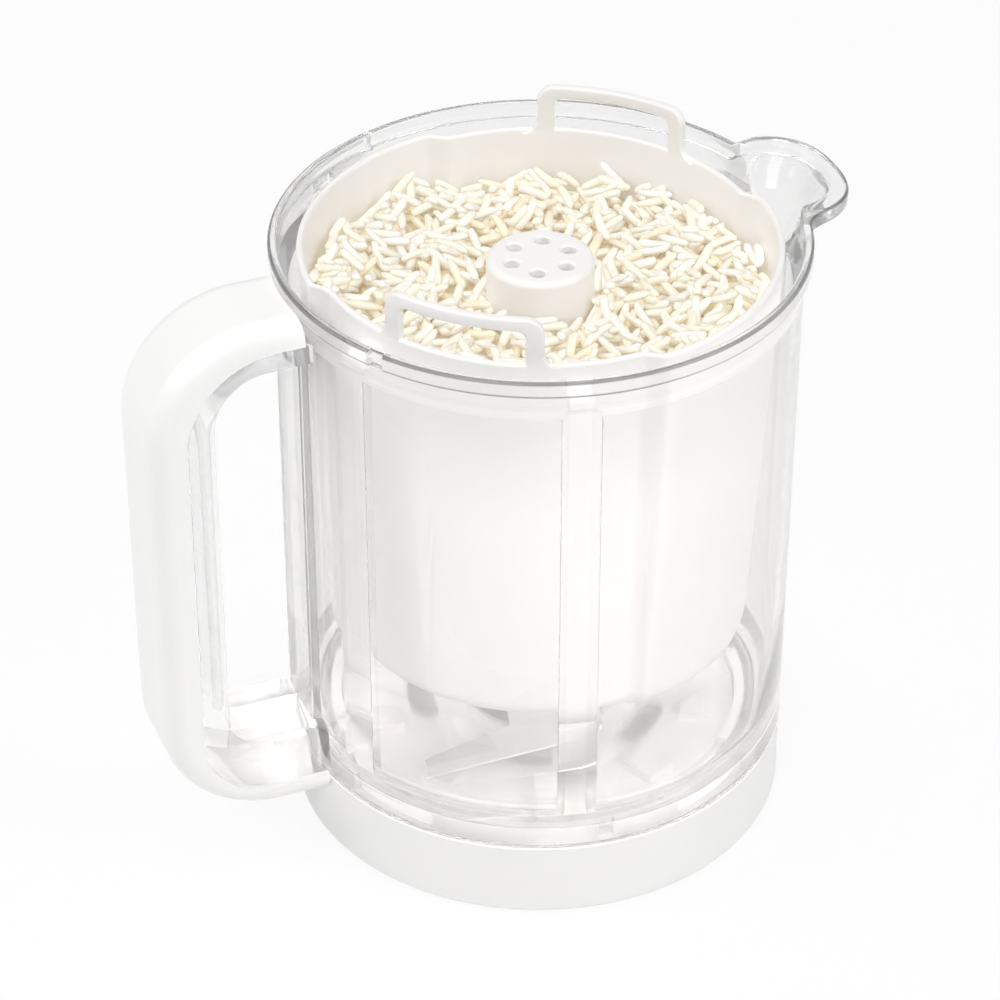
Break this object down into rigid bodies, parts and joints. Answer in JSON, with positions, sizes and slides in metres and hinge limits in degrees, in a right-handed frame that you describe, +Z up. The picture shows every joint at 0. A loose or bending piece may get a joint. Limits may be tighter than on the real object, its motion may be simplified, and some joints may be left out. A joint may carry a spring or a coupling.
{
  "type": "food maker work bowl",
  "caption": "Clear handled jug with spout, twist-off base ring carrying a spinning blade, and a lift-out rice basket with steam column.",
  "frame": {"origin": "on the jug's axis at table level, the centre of the base ring's socket mouth", "axes": "+Z up along the jug's axis, +X towards the spout, the handle on -X"},
  "size_m": [0.185, 0.133, 0.173],
  "materials": {
    "clear_plastic": "clear gloss",
    "white_plastic": "satin",
    "basket_plastic": "satin, slightly translucent",
    "grey_plastic": "satin",
    "steel": "brushed",
    "bronze": "sintered",
    "seal_rubber": "matt"
  },
  "bodies": {
    "jug": {"jug_body": "clear_plastic", "handle_cover": "white_plastic"},
    "base": {"base_ring": "white_plastic", "blade_carrier": "white_plastic", "carrier_screws": "steel", "bearing_housing": "grey_plastic", "floor_gasket": "seal_rubber", "upper_bush": "bronze", "lower_bush": "bronze", "shaft_seal": "seal_rubber"},
    "blade_unit": {"blade_shaft": "steel", "thrust_washer": "steel", "lower_washer": "steel", "circlip": "steel", "drive_coupling": "grey_plastic", "coupling_pin": "steel", "blade_seat": "steel", "blade": "steel", "blade_hub": "grey_plastic", "cap_nut": "steel"},
    "basket": {"rice_basket": "basket_plastic"}
  },
  "joints": [
    {"name": "base_twist", "type": "hinge", "parent": "jug", "child": "base", "pos_m": [0, 0, 0.01], "axis": [0, 0, 1], "range_deg": [0, 30]},
    {"name": "blade_spin", "type": "hinge", "parent": "base", "child": "blade_unit", "pos_m": [0, 0, 0.031], "axis": [0, 0, 1], "continuous": true},
    {"name": "basket_lift", "type": "slide", "parent": "jug", "child": "basket", "axis": [0, 0, 1], "range_m": [0, 0.13]}
  ]
}
